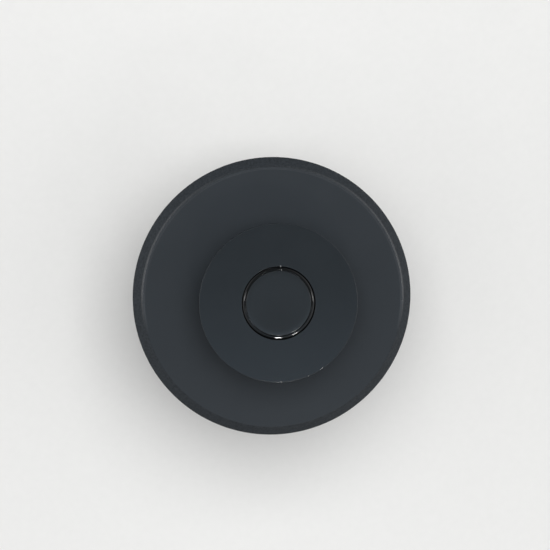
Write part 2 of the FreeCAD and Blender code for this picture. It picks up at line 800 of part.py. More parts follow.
def make_usb_board():
    """The round board that carries the sockets."""
    holes = [cylinder("stem_radius + stem_play", BOARD_UNDER, BOARD_TOP)]
    holes += [screw_hole(BOARD_UNDER, BOARD_TOP, around(BOSS_RING, angle)) for angle in PILLAR_ANGLES]
    keep(cut(cylinder(f"{DRUM_BORE} - board_edge_gap", BOARD_UNDER, BOARD_TOP), *holes), "usb_board")


def keep_turned(thing, label, angle):
    """Keep a piece modelled along +X, turned to face its own direction."""
    keep(turn_about_axis(thing, angle), label)


def make_usb_a_socket(number, angle):
    """One type A receptacle: folded steel shell, insulator with its tongue, and four contacts."""
    low = f"({SOCKET_LEVEL} - usb_a_height / 2)"
    high = f"({SOCKET_LEVEL} + usb_a_height / 2)"
    depth = ("socket_back", MOUTH)
    outer = box(depth, both_ways("usb_a_width / 2 + shell_sheet"),
                (f"{low} - shell_sheet", f"{high} + shell_sheet"))
    inner = box(depth, both_ways("usb_a_width / 2"), (low, high))
    slots = []
    slot_start = "socket_back + shell_slot_start"
    for side in (-1, 1):
        centre = f"{side} * shell_slot_place"
        slots.append(box((slot_start, f"{slot_start} + shell_slot_length"),
                         (f"{centre} - shell_slot_half", f"{centre} + shell_slot_half"),
                         (high, f"{high} + shell_sheet")))
    keep_turned(cut(outer, inner, *slots), f"usb_a_{number}_shell", angle)

    tongue_top = f"{high} - tongue_a_gap"
    tongue_low = f"{tongue_top} - tongue_a_thickness"
    block = box(("socket_back + fit_gap", "socket_back + back_wall"), both_ways("usb_a_width / 2 - fit_gap"),
                (f"{low} + fit_gap", f"{high} - fit_gap"))
    tongue = box(("socket_back + fit_gap", f"{MOUTH} - tongue_a_recess"), both_ways("tongue_a_width / 2"),
                 (tongue_low, tongue_top))
    along = ("socket_back + back_wall", f"{MOUTH} - tongue_a_recess - contact_a_short")
    half = "contact_thickness / 2"
    contacts = []
    grooves = []
    for place in ("-contact_a_outer", "-contact_a_inner", "contact_a_inner", "contact_a_outer"):
        across = (f"{place} - contact_a_half", f"{place} + contact_a_half")
        contacts.append(box(along, across, (f"{tongue_low} - {half}", f"{tongue_low} + {half}")))
        grooves.append(box(along, across, (tongue_low, f"{tongue_low} + {half}")))
    keep_turned(cut(fuse(block, tongue), *grooves), f"usb_a_{number}_insulator", angle)
    keep_turned(group(contacts), f"usb_a_{number}_contacts", angle)


def stadium(width, height, level, low, high):
    """A block along +X with fully rounded ends, from low to high."""
    radius = f"(({height}) / 2)"
    centre = f"(({width}) / 2 - {radius})"
    ends = [rod_along_x(radius, low, high, f"{side}{centre}", level) for side in ("-", "")]
    middle = box((low, high), both_ways(centre), (f"{level} - {radius}", f"{level} + {radius}"))
    return fuse(middle, *ends)


def make_usb_c_socket(angle):
    """The type C receptacle: rounded steel shell, tongue and two rows of contacts."""
    back = f"({MOUTH} - usb_c_length)"
    outer = stadium("usb_c_width + 2 * shell_sheet", "usb_c_height + 2 * shell_sheet", USB_C_LEVEL,
                    back, MOUTH)
    inner = stadium("usb_c_width", "usb_c_height", USB_C_LEVEL, back, MOUTH)
    keep_turned(cut(outer, inner), "usb_c_shell", angle)
    block = stadium("usb_c_width - 2 * fit_gap", "usb_c_height - 2 * fit_gap", USB_C_LEVEL,
                    f"{back} + fit_gap", f"{back} + back_wall")
    half = "tongue_c_thickness / 2"
    tongue = box((f"{back} + fit_gap", f"{MOUTH} - tongue_c_recess"), both_ways("tongue_c_width / 2"),
                 (f"{USB_C_LEVEL} - {half}", f"{USB_C_LEVEL} + {half}"))
    along = (f"{back} + back_wall", f"{MOUTH} - tongue_c_recess - contact_c_short")
    contacts = []
    grooves = []
    for face in ("-", "+"):
        surface = f"{USB_C_LEVEL} {face} {half}"
        pad = (f"{surface} - contact_thickness / 4", f"{surface} + contact_thickness / 4")
        inside = (surface, pad[1]) if face == "-" else (pad[0], surface)
        for index in range(CONTACTS_C):
            centre = f"{index - CONTACTS_C // 2} * contact_c_pitch"
            across = (f"{centre} - contact_c_half", f"{centre} + contact_c_half")
            contacts.append(box(along, across, pad))
            grooves.append(box(along, across, inside))
    keep_turned(cut(fuse(block, tongue), *grooves), "usb_c_tongue", angle)
    keep_turned(group(contacts), "usb_c_contacts", angle)


def make_turret_electronics():
    """The parts soldered under the socket board."""
    cans = [cylinder("can_radius", f"{BOARD_UNDER} - can_height", BOARD_UNDER, *around("can_ring", angle))
            for angle in CAN_ANGLES]
    keep(group(cans), "filter_capacitors")
    choke = doc.addObject("Part::Torus", "Choke")
    bind(choke, Radius1="choke_radius", Radius2="choke_section")
    keep(shift(choke, *around(CHOKE_RING, CHOKE_ANGLE), f"{BOARD_UNDER} - choke_section"), "choke_coil")
    chips = [box((f"{side} * chip_width - chip_width / 2", f"{side} * chip_width + chip_width / 2"),
                 ("chip_place", "chip_place + chip_length"), (f"{BOARD_UNDER} - chip_height", BOARD_UNDER))
             for side in (-1, 1)]
    keep(group(chips), "power_chips")
    keep(ribbon_socket(f"{BOARD_UNDER} - plug_height", BOARD_UNDER), "board_connector")


def ribbon_socket(low, high):
    """A flat connector whose slot takes the ribbon's end."""
    shell = box((f"{RIBBON_PLACE} - plug_half", f"{RIBBON_PLACE} + plug_half"),
                both_ways("ribbon_width / 2 + plug_wall"), (low, high))
    slot_half = "ribbon_thickness / 2 + plug_slot"
    slot = box((f"{RIBBON_PLACE} - ({slot_half})", f"{RIBBON_PLACE} + ({slot_half})"),
               both_ways("ribbon_width / 2 + plug_play"), (low, high))
    return cut(shell, slot)


def arc_from(start, end, way):
    """An arc in the XZ plane that leaves or reaches the upright at start and ends at end."""
    chord = end - start
    radius = chord.dot(chord) / (2 * abs(chord.x))
    centre = start + Vector(math.copysign(radius, chord.x), 0, 0)
    middle = (start + end) * 0.5
    crown = centre + (middle - centre).normalize() * radius
    points = (start, crown, end) if way > 0 else (end, crown, start)
    return Part.Arc(*points).toShape()


def make_power_ribbon():
    """The flat lead from base to turret, with its slack in one bow at the side."""
    low = amount(f"{BASE_BOARD_TOP} + plug_height / 2")
    high = amount(f"{BOARD_UNDER} - plug_height / 2")
    straight_low = amount(f"{BASE_BOARD_TOP} + plug_height + ribbon_lead")
    straight_high = amount(f"{PLATE_UNDER} - ribbon_lead")
    near = amount(RIBBON_PLACE)
    far = near + amount("ribbon_bow")
    between = (near + far) / 2
    middle = (straight_low + straight_high) / 2
    quarter = (straight_high - straight_low) / 4
    path = Part.Wire([
        Part.LineSegment(Vector(near, 0, low), Vector(near, 0, straight_low)).toShape(),
        arc_from(Vector(near, 0, straight_low), Vector(between, 0, straight_low + quarter), 1),
        arc_from(Vector(far, 0, middle), Vector(between, 0, straight_low + quarter), -1),
        arc_from(Vector(far, 0, middle), Vector(between, 0, straight_high - quarter), 1),
        arc_from(Vector(near, 0, straight_high), Vector(between, 0, straight_high - quarter), -1),
        Part.LineSegment(Vector(near, 0, straight_high), Vector(near, 0, high)).toShape(),
    ])
    half = amount("ribbon_thickness / 2")
    wide = amount("ribbon_width / 2")
    corners = [Vector(near - half, -wide, low), Vector(near + half, -wide, low),
               Vector(near + half, wide, low), Vector(near - half, wide, low)]
    section = Part.makePolygon(corners + corners[:1])
    keep_shape(path.makePipeShell([section], True, False), "power_ribbon")


def make_latch_tongue():
    """The hollow striker under the carrier, with a head that the jaws take hold of."""
    body = new_body("latch_tongue")
    head = f"{STRIKER_RADIUS} + head_lip"
    neck = f"{TONGUE_TIP} + head_height"
    flange_low = f"{PLATE_UNDER} - tongue_flange_thickness"
    turned(body, [
        (STRIKER_BORE, TONGUE_TIP), (STRIKER_RADIUS, TONGUE_TIP), (head, f"{TONGUE_TIP} + tongue_nose"),
        (head, neck), (STRIKER_RADIUS, neck), (STRIKER_RADIUS, flange_low),
        ("tongue_flange", flange_low), ("tongue_flange", PLATE_UNDER), (STRIKER_BORE, PLATE_UNDER),
    ])


def make_latch_jaw(label, facing):
    """A hooked jaw, drawn shut about its pivot and placed open."""
    body = new_body(label)
    corner = "jaw_half - jaw_corner"
    hook_tip = f"{STRIKER_RADIUS} + jaw_play - jaw_pivot"
    hook_low = "jaw_reach + jaw_play"
    foot_tip = "jaw_foot - jaw_pivot"
    foot_top = "jaw_reach - head_height - jaw_foot_gap"
    feature = body.newObject("PartDesign::Pad", "Plate")
    feature.Profile = outline(body, "YZ_Plane", [
        (f"-({corner})", "-jaw_half"), (corner, "-jaw_half"), ("jaw_half", f"-({corner})"),
        ("jaw_half", f"{hook_low} + jaw_top"), ("jaw_arm", f"{hook_low} + jaw_top"),
        (hook_tip, f"{hook_low} + jaw_hook"), (hook_tip, hook_low), ("-jaw_arm", hook_low),
        ("-jaw_arm", foot_top), (foot_tip, foot_top), (foot_tip, f"{foot_top} - jaw_foot_height"),
        ("-jaw_half", corner), ("-jaw_half", f"-({corner})"),
    ], hole="jaw_pin + pillar_play")
    feature.Midplane = True
    bind(feature, Length="jaw_thickness")
    opened = Rotation(Vector(1, 0, 0), -amount("jaw_swing"))
    turn = Rotation(Vector(0, 0, 1), 0 if facing > 0 else 180)
    body.Placement = Placement(Vector(0, 0, 0), turn.multiply(opened))
    shift(body, "0", f"{facing} * jaw_pivot", PIVOT_LEVEL)


def pin_rod(radius, facing):
    """A rod right through the housing at a jaw's pivot."""
    return rod_along_x(radius, f"-{HOUSING_HALF}", HOUSING_HALF, f"{facing} * jaw_pivot", PIVOT_LEVEL)


def make_latch_jaw_pins():
    """Two pins through the housing, one for each jaw."""
    keep(group([pin_rod("jaw_pin", facing) for facing in (-1, 1)]), "latch_jaw_pins")


def make_jaw_springs():
    """Two short torsion coils beside the jaws, on the same pins."""
    wire = amount("jaw_wire")
    mean = amount("jaw_pin + jaw_coil_gap + jaw_wire")
    end = amount("jaw_coil_end")
    room = amount("jaw_coil_room")
    beside_jaw = amount("jaw_thickness / 2")
    springs = []
    for facing in (-1, 1):
        spring = coil(mean, wire, end, room - end, amount("jaw_coil_turns"), "jaw spring")
        spring.rotate(Vector(0, 0, 0), Vector(0, 1, 0), 90)
        spring.translate(Vector(beside_jaw, facing * amount("jaw_pivot"), amount(PIVOT_LEVEL)))
        springs.append(spring)
    keep_shape(Part.makeCompound(springs), "jaw_springs")


def make_latch_housing():
    """The open-topped box that carries the jaws, with an ear at each end."""
    top = f"{PIVOT_LEVEL} + jaw_reach + jaw_play + housing_head"
    floor = f"{PIVOT_LEVEL} - jaw_half - housing_floor"
    inner_x = both_ways(f"{HOUSING_HALF} - housing_wall")
    inner_y = both_ways("housing_half_y - housing_wall")
    block = box(both_ways(HOUSING_HALF), both_ways("housing_half_y"), (BASE_FLOOR, top))
    ears = box(both_ways(f"{HOUSING_HALF} - ear_inset"), both_ways("housing_half_y + ear_length"),
               (BASE_FLOOR, EAR_TOP))
    well = box(inner_x, inner_y, (floor, top))
    under = box(inner_x, inner_y, (BASE_FLOOR, f"{floor} - housing_wall"))
    holes = [pin_rod("jaw_pin + fit_gap", facing) for facing in (-1, 1)]
    holes += [screw_hole(BASE_FLOOR, EAR_TOP, place) for place in ear_places()]
    keep(cut(fuse(block, ears), well, under, *holes), "latch_housing")


def make_latch_screws():
    """Two screws through the housing's ears into the base."""
    screws = [screw_down(place, EAR_TOP, f"{BASE_FLOOR} - latch_screw_bite", "latch_screw_head")
              for place in ear_places()]
    keep(group(screws), "latch_screws")


def jack_block(growth, low, high):
    """A square block round the inlet's place."""
    half = f"(jack_half + {growth})"
    return box((f"-jack_place - {half}", f"-jack_place + {half}"), both_ways(half), (low, high))


def make_base_cover():
    """The disc that closes the sleeve, with posts for the board and seats for all screws."""
    holes = [jack_block("jack_gap", BASE_UNDER, BASE_FLOOR)]
    posts = []
    root = f"{BASE_FLOOR} - post_root"
    for angle in PILLAR_ANGLES:
        place = around(PILLAR_RING, angle)
        holes.append(screw_hole(BASE_UNDER, BASE_FLOOR, place))
        holes.append(cylinder("screw_head + screw_head_gap", BASE_UNDER,
                              f"{BASE_UNDER} + screw_head_height", *place))
    for angle in SOCKET_ANGLES:
        place = around(POST_RING, angle)
        posts.append(cylinder("post_radius", root, BASE_BOARD_UNDER, *place))
        holes.append(screw_hole(BASE_FLOOR, BASE_BOARD_UNDER, place))
    for place in ear_places():
        holes.append(screw_hole(f"{BASE_FLOOR} - latch_screw_bite - latch_screw_spare", BASE_FLOOR, place))
    rim_top = f"{BASE_FLOOR} + base_rim_height"
    rim = cut(cylinder(f"{SLEEVE_BORE} - base_rim_gap", root, rim_top),
              cylinder(f"{SLEEVE_BORE} - base_rim_gap - base_rim_wall", root, rim_top))
    disc = cylinder(f"{THREAD_ROOT} - base_inset", BASE_UNDER, BASE_FLOOR)
    keep(cut(fuse(disc, rim, *posts), *holes), "base_cover")


def make_base_board():
    """The board in the base, cut out round the latch, the inlet and the springs."""
    layer = (BASE_BOARD_UNDER, BASE_BOARD_TOP)
    across = both_ways(f"{HOUSING_HALF} + board_window_gap")
    along = both_ways("housing_half_y + board_window_gap")
    holes = [box(across, along, layer), jack_block("jack_board_gap", *layer)]
    holes += [cylinder(f"{LIFT_OUTER} + board_notch", *layer, *around(PILLAR_RING, angle))
              for angle in PILLAR_ANGLES]
    holes += [screw_hole(*layer, around(POST_RING, angle)) for angle in SOCKET_ANGLES]
    keep(cut(cylinder(f"{SLEEVE_BORE} - base_board_gap", *layer), *holes), "base_board")


def make_board_screws():
    """Three screws that hold the base board down on its posts."""
    screws = [screw_down(around(POST_RING, angle), BASE_BOARD_TOP, f"{BASE_FLOOR} + screw_end_gap")
              for angle in SOCKET_ANGLES]
    keep(group(screws), "board_screws")


def make_base_electronics():
    """The converter's parts on the base board, and its ribbon connector."""
    can_top = f"{BASE_BOARD_TOP} + bulk_height"
    cans = [cylinder("bulk_radius", BASE_BOARD_TOP, can_top, *around("bulk_ring", angle))
            for angle in BULK_ANGLES]
    keep(group(cans), "input_capacitors")
    edge = f"({POST_RING} * cos(30) - screw_head - part_gap)"
    inductor = box((f"{edge} - inductor_side", edge),
                   ("-inductor_place - inductor_side", "-inductor_place"),
                   (BASE_BOARD_TOP, f"{BASE_BOARD_TOP} + inductor_height"))
    keep(inductor, "converter_inductor")
    chip = box((f"-{edge}", f"converter_side - {edge}"),
               ("-converter_place - converter_side", "-converter_place"),
               (BASE_BOARD_TOP, f"{BASE_BOARD_TOP} + converter_height"))
    keep(chip, "converter_chip")
    keep(ribbon_socket(BASE_BOARD_TOP, f"{BASE_BOARD_TOP} + plug_height"), "base_connector")


def make_dc_inlet():
    """The barrel inlet in the base, open downwards, with its centre pin."""
    place = "-jack_place"
    well_end = f"{BASE_UNDER} + jack_depth"
    pin_end = f"{well_end} + jack_pin_root"
    body = jack_block("0", BASE_UNDER, f"{BASE_UNDER} + jack_length")
    well = cylinder("jack_bore", BASE_UNDER, well_end, place)
    seat = cylinder("jack_pin + fit_gap", well_end, pin_end, place)
    keep(cut(body, well, seat), "dc_inlet_body")
    nose_low = f"{BASE_UNDER} + jack_pin_recess"
    nose_high = f"{nose_low} + jack_pin_nose"
    keep(fuse(cylinder("jack_pin", nose_high, pin_end, place),
              cone("jack_pin / 2", "jack_pin", nose_low, nose_high, place)), "dc_inlet_pin")


def make_nut_washer():
    """The thin ring between the desk's underside and the nut."""
    body = new_body("nut_washer")
    turned(body, tube_profile(f"{SLEEVE_RADIUS} + washer_gap", f"{NUT_RADIUS} + grip_radius / 2",
                              WASHER_UNDER, "-panel_thickness"))


def make_clamp_nut():
    """The ring nut under the desk, with grips all round."""
    low = f"{WASHER_UNDER} - nut_height"
    ring = cylinder(NUT_RADIUS, low, WASHER_UNDER)
    grip_top = f"{WASHER_UNDER} - grip_drop"
    grips = [cylinder("grip_radius", low, grip_top, *around(NUT_RADIUS, 360 * i / NUT_GRIPS))
             for i in range(NUT_GRIPS)]
    bore = cylinder(f"{SLEEVE_RADIUS} + nut_gap", low, WASHER_UNDER)
    keep(cut(fuse(ring, *grips), bore), "clamp_nut")


make_bezel_flange()
make_flange_gasket()
make_mounting_sleeve()
make_guide_pillars()
make_bezel_screws()
make_lift_springs()
make_base_cover()
make_base_screws()
make_base_board()
make_board_screws()
make_base_electronics()
make_dc_inlet()
make_latch_housing()
make_latch_screws()
make_latch_jaw_pins()
make_jaw_springs()
make_power_ribbon()
make_turret_cap()
make_button_trim()
make_turret_drum()
make_carrier_plate()
make_pillar_bushes()
make_turret_screws()
make_usb_board()
for socket_number, socket_angle in enumerate(SOCKET_ANGLES[:2], 1):
    make_usb_a_socket(socket_number, socket_angle)
make_usb_c_socket(SOCKET_ANGLES[2])
make_turret_electronics()
make_latch_tongue()
make_centre_button()
make_button_clip()
make_button_spring()
make_latch_jaw("latch_jaw_left", -1)
make_latch_jaw("latch_jaw_right", 1)
make_nut_washer()
make_clamp_nut()
doc.recompute()

for thing in doc.Objects:
    if "Invalid" in thing.State or "Error" in thing.State:
        raise RuntimeError(f"{thing.Label} failed: {thing.State}")
for thing in subparts:
    if thing.Shape.isNull() or not thing.Shape.isValid() or thing.Shape.Volume <= 0:
        raise RuntimeError(f"{thing.Label} has no valid shape")

os.makedirs("parts", exist_ok=True)
for thing in subparts:
    thing.Shape.exportStep(f"parts/{thing.Label}.step")
print(f"{len(subparts)} sub-parts written")
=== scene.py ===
import math
import bmesh
import bpy
from mathutils import Matrix, Vector


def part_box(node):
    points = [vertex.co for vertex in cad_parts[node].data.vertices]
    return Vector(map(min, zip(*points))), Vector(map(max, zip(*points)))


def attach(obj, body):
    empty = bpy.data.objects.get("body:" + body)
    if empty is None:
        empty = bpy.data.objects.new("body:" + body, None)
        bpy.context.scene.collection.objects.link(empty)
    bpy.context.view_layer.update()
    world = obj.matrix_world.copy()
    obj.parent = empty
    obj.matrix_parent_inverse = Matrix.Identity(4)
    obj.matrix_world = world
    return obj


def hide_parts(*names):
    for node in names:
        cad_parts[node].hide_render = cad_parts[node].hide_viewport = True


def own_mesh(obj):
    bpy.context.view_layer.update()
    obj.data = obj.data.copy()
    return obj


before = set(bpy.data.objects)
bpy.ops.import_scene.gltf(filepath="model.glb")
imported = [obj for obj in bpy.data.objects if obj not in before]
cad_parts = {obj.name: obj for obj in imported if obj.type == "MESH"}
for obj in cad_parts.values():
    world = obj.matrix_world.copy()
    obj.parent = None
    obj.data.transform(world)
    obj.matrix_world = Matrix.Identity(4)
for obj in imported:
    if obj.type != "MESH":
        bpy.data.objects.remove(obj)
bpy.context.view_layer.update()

# A pop-up charger for a desk's hole, raised. Metres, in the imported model's frame: +Z up, the
# origin on the axis at the desk's top face. Each piece takes its place from the CAD's boxes.

MM = 0.001


def box_radius(node):
    """The outer radius of a round node that is centred on the axis."""
    low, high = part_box(node)
    return (high[0] - low[0]) / 2


def low_of(node):
    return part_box(node)[0][2]


def high_of(node):
    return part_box(node)[1][2]


# Driving sizes, read from the frame where it has them.
FLANGE_RADIUS = box_radius("bezel_flange")
FLANGE_TOP = high_of("bezel_flange")
FLANGE_UNDER = high_of("mounting_sleeve")
GUIDE_END = low_of("bezel_flange")
GASKET_TOP = high_of("flange_gasket")
GASKET_OUTER = box_radius("flange_gasket")
DRUM_RADIUS = box_radius("turret_drum")
CAP_UNDER = high_of("turret_drum")
CAP_TOP = high_of("turret_cap")
TRIM_OUTER = box_radius("button_trim")
BUTTON_RADIUS = box_radius("centre_button")
BOARD_TOP = high_of("usb_board")
BOARD_UNDER = low_of("usb_board")
PLATE_UNDER = low_of("carrier_plate")
BASE_UNDER = low_of("base_cover")
BASE_BOARD_TOP = high_of("base_board")
NUT_LOW = low_of("clamp_nut")
NUT_HIGH = high_of("clamp_nut")

# Sizes that no box gives.
CAP_OVERHANG = 2.0 * MM
CAP_RADIUS = DRUM_RADIUS + CAP_OVERHANG
BUTTON_THICKNESS = 1.9 * MM
GUIDE_BORE = DRUM_RADIUS + 0.3 * MM
GUIDE_WALL = 1.4 * MM
BAND_WIDTH = 2.5 * MM
BAND_DROP = 2.2 * MM
PILLAR_RING = 24.0 * MM
PILLAR_RADIUS = 1.5 * MM
BEZEL_RING = 24.6 * MM
BOSS_RING = 13.2 * MM
SLEEVE_RADIUS = 29.5 * MM
NUT_SHOULDER = 32.5 * MM
SOCKET_ANGLES = (90, 210, 330)
PILLAR_ANGLES = (30, 150, 270)

# Sockets, each modelled along +X: where they end, their sheet, and their insulator's fit.
MOUTH = 16.4 * MM
TYPE_A_BACK = 4.4 * MM
TYPE_C_DEPTH = 8.6 * MM
SHEET = 0.3 * MM
INSULATOR_PLAY = 0.05 * MM
INSULATOR_DEPTH = 1.2 * MM
TONGUE_ROOT = 0.5 * MM


def around(centre, half):
    """A range that reaches as far each way from its centre."""
    return centre - half, centre + half


# Plain geometry


def arc_corner(before, corner, after, radius, step=math.radians(11)):
    """The points of a rounded corner between two straight runs."""
    back = (before - corner).normalized()
    ahead = (after - corner).normalized()
    half = back.angle(ahead) / 2
    reach = radius / math.tan(half)
    centre = corner + (back + ahead).normalized() * radius / math.sin(half)
    first = corner + back * reach - centre
    last = corner + ahead * reach - centre
    turn = first.angle(last)
    count = max(2, math.ceil(turn / step))
    points = []
    for i in range(count + 1):
        share = i / count
        weight = (math.sin((1 - share) * turn), math.sin(share * turn))
        points.append(centre + (first * weight[0] + last * weight[1]) / math.sin(turn))
    return points


def softened(corners, closed=True):
    """A polygon of (x, y) or (x, y, radius) corners with its rounded corners drawn out."""
    places = [Vector(corner[:2]) for corner in corners]
    count = len(corners)
    points = []
    for i, corner in enumerate(corners):
        at_end = not closed and i in (0, count - 1)
        if len(corner) == 3 and not at_end:
            points += arc_corner(places[i - 1], places[i], places[(i + 1) % count], corner[2])
        else:
            points.append(places[i])
    return points


def mesh_object(name, vertices, faces, crease=32):
    """A shaded object: smooth, with edges sharper than the crease angle kept sharp."""
    mesh = bpy.data.meshes.new(name)
    mesh.from_pydata([tuple(v) for v in vertices], [], faces)
    work = bmesh.new()
    work.from_mesh(mesh)
    bmesh.ops.remove_doubles(work, verts=work.verts, dist=1e-8)
    bmesh.ops.recalc_face_normals(work, faces=work.faces)
    work.to_mesh(mesh)
    work.free()
    mesh.shade_smooth()
    mesh.set_sharp_from_angle(angle=math.radians(crease))
    piece = bpy.data.objects.new(name, mesh)
    bpy.context.scene.collection.objects.link(piece)
    normals = piece.modifiers.new("Normals", "WEIGHTED_NORMAL")
    normals.keep_sharp = True
    return piece


def loft(loops, closed=False, caps=False):
    """Vertices and faces of a skin over loops of equal count."""
    count = len(loops[0])
    vertices = [point for loop in loops for point in loop]
    faces = []
    spans = len(loops) if closed else len(loops) - 1
    for k in range(spans):
        low = k * count
        high = (k + 1) % len(loops) * count
        for i in range(count):
            j = (i + 1) % count
            faces.append((low + i, low + j, high + j, high + i))
    if caps:
        faces.append(tuple(range(count)))
        faces.append(tuple(range((len(loops) - 1) * count, len(loops) * count)))
    return vertices, faces


def joined(parts):
    """Several (vertices, faces) pairs as one."""
    vertices, faces = [], []
    for more_vertices, more_faces in parts:
        start = len(vertices)
        vertices += more_vertices
        faces += [tuple(start + i for i in face) for face in more_faces]
    return vertices, faces


def placed(part, matrix):
    """A (vertices, faces) pair moved to its place."""
    vertices, faces = part
    return [matrix @ Vector(v) for v in vertices], faces


def spun(profile, segments=256, closed=True):
    """A profile of (radius, height) points turned about Z."""
    turns = [math.tau * i / segments for i in range(segments)]
    loops = [[Vector((r * math.cos(a), r * math.sin(a), z)) for a in turns] for r, z in profile]
    return loft(loops, closed=closed)


def ring(inner, outer, low, high, edge, segments):
    """A plain ring with softened edges."""
    corners = [(inner, low, edge), (outer, low, edge), (outer, high, edge), (inner, high, edge)]
    return spun(softened(corners), segments)


def spoke(angle, distance=0.0, height=0.0):
    """The place of a piece modelled along +X and turned to its own direction."""
    turn = Matrix.Rotation(math.radians(angle), 4, "Z")
    return turn @ Matrix.Translation((distance, 0, height))


def rounded_rectangle(half_width, half_height, radius, parts=6):
    """A rectangle's outline with quarter-round corners, always of the same number of points."""
    radius = min(radius, half_width, half_height)
    points = []
    for corner in range(4):
        sign_x = 1 if corner in (0, 3) else -1
        sign_y = 1 if corner in (0, 1) else -1
        for i in range(parts + 1):
            turn = math.radians(90 * (corner + i / parts))
            points.append(Vector((sign_x * (half_width - radius) + radius * math.cos(turn),
                                  sign_y * (half_height - radius) + radius * math.sin(turn))))
    return points


def rounded_block(x, y, z, radius, edge=None):
    """A box along X with rounded long edges and softened ends."""
    edge = edge or radius / 2
    half_y, half_z = (y[1] - y[0]) / 2, (z[1] - z[0]) / 2
    middle = Vector((0, (y[0] + y[1]) / 2, (z[0] + z[1]) / 2))
    loops = []
    for at, inset in ((x[0], edge), (x[0] + edge, 0), (x[1] - edge, 0), (x[1], edge)):
        outline = rounded_rectangle(half_y - inset, half_z - inset, radius)
        loops.append([middle + Vector((at, p.x, p.y)) for p in outline])
    return loft(loops, caps=True)


def helix(radius, wire, low, high, turns, per_turn=40, around_wire=12):
    """A wound wire about Z, closed at both ends."""
    steps = int(turns * per_turn)
    rise = (high - low - 2 * wire) / steps
    slope = rise * per_turn / (math.tau * radius)
    loops = []
    for i in range(steps + 1):
        turn = math.tau * i / per_turn
        out = Vector((math.cos(turn), math.sin(turn), 0))
        along = Vector((-math.sin(turn), math.cos(turn), slope)).normalized()
        side = along.cross(out)
        centre = out * radius + Vector((0, 0, low + wire + rise * i))
        loops.append([centre + (out * math.cos(a) + side * math.sin(a)) * wire
                      for a in [math.tau * k / around_wire for k in range(around_wire)]])
    return loft(loops, caps=True)


# Materials

NOISE_SPAN = (0.3, 0.7)
MOTTLE_WAVES = 90
BLACK = (0.0, 0.0, 0.0)

# The flange's band is coarser than its top, and its colour carries painted shade: darker where
# its grain is low, in the hollows, which also makes the band darker as a whole. The far half of the
# edge between them is rubbed smoother, which shows as a thin light line. The rub fades in along Y.
BAND_GRAIN = 0.5 * MM
BAND_DEPTH = 0.08 * MM
BAND_PAINTED_SHADE = (0.6, 1.05)
BAND_GLOSS = 0.1
BAND_SOFTNESS = 0.3 * MM
RUB_INSIDE = 0.5 * MM
RUB_OUTSIDE = 0.4 * MM
RUB_SOFTNESS = 0.2 * MM
RUB_FADE = (-10 * MM, 2 * MM)
RUB_SMOOTHING = 0.55
RUB_GLOSS = 0.6


class Shading:
    """The nodes of one material or of the world, with short ways to add to them."""

    def __init__(self, owner):
        owner.use_nodes = True
        self.nodes = owner.node_tree.nodes
        self.links = owner.node_tree.links

    def add(self, kind):
        return self.nodes.new("ShaderNode" + kind)

    def feed(self, socket, value):
        """Give a socket a plain value, or join it to another node's output."""
        if isinstance(value, bpy.types.NodeSocket):
            self.links.new(value, socket)
        else:
            socket.default_value = value

    def maths(self, operation, *values):
        """A number worked out from one or two others."""
        node = self.add("Math")
        node.operation = operation
        for socket, value in zip(node.inputs, values):
            self.feed(socket, value)
        return node.outputs[0]

    def product(self, first, second):
        return self.maths("MULTIPLY", first, second)

    def total(self, first, second):
        return self.maths("ADD", first, second)

    def rest(self, share):
        """What a share leaves of 1."""
        return self.maths("SUBTRACT", 1.0, share)

    def noise(self, where, waves, detail=3.0, stretch=(1, 1, 1)):
        """Smooth noise at a real scale: so many waves to the metre, stretched per axis."""
        mapping = self.add("Mapping")
        mapping.inputs["Scale"].default_value = stretch
        noise = self.add("TexNoise")
        noise.inputs["Scale"].default_value = waves
        noise.inputs["Detail"].default_value = detail
        self.links.new(where, mapping.inputs["Vector"])
        self.links.new(mapping.outputs["Vector"], noise.inputs["Vector"])
        return noise.outputs["Fac"]

    def ranged(self, value, source, target=(0, 1)):
        """A value brought from one range to another, and held inside it."""
        span = self.add("MapRange")
        span.inputs["From Min"].default_value, span.inputs["From Max"].default_value = source
        span.inputs["To Min"].default_value, span.inputs["To Max"].default_value = target
        self.links.new(value, span.inputs["Value"])
        return span.outputs["Result"]

    def beyond(self, where, radius, softness):
        """0 inside a radius about the axis and 1 outside it, with a soft edge."""
        flat = self.add("VectorMath")
        flat.operation = "MULTIPLY"
        flat.inputs[1].default_value = (1, 1, 0)
        length = self.add("VectorMath")
        length.operation = "LENGTH"
        self.links.new(where, flat.inputs[0])
        self.links.new(flat.outputs["Vector"], length.inputs[0])
        return self.ranged(length.outputs["Value"], around(radius, softness / 2))

    def mixed(self, share, first, second):
        """A blend of two colours, each given as numbers or as a node's output."""
        blend = self.add("Mix")
        blend.data_type = "RGBA"
        colour_inputs = blend.inputs[6], blend.inputs[7]
        for socket, value in zip(colour_inputs, (first, second)):
            self.feed(socket, (*value, 1) if isinstance(value, tuple) else value)
        self.links.new(share, blend.inputs[0])
        return blend.outputs[2]


def rubbed_edge(shade, where, radius):
    """1 along the far half of an edge at a radius, where it is rubbed smoother, and 0 elsewhere."""
    inside = shade.beyond(where, radius - RUB_INSIDE, RUB_SOFTNESS)
    outside = shade.beyond(where, radius + RUB_OUTSIDE, RUB_SOFTNESS)
    near = shade.maths("SUBTRACT", inside, outside)
    place = shade.add("SeparateXYZ")
    shade.links.new(where, place.inputs[0])
    return shade.product(near, shade.ranged(place.outputs[1], RUB_FADE))


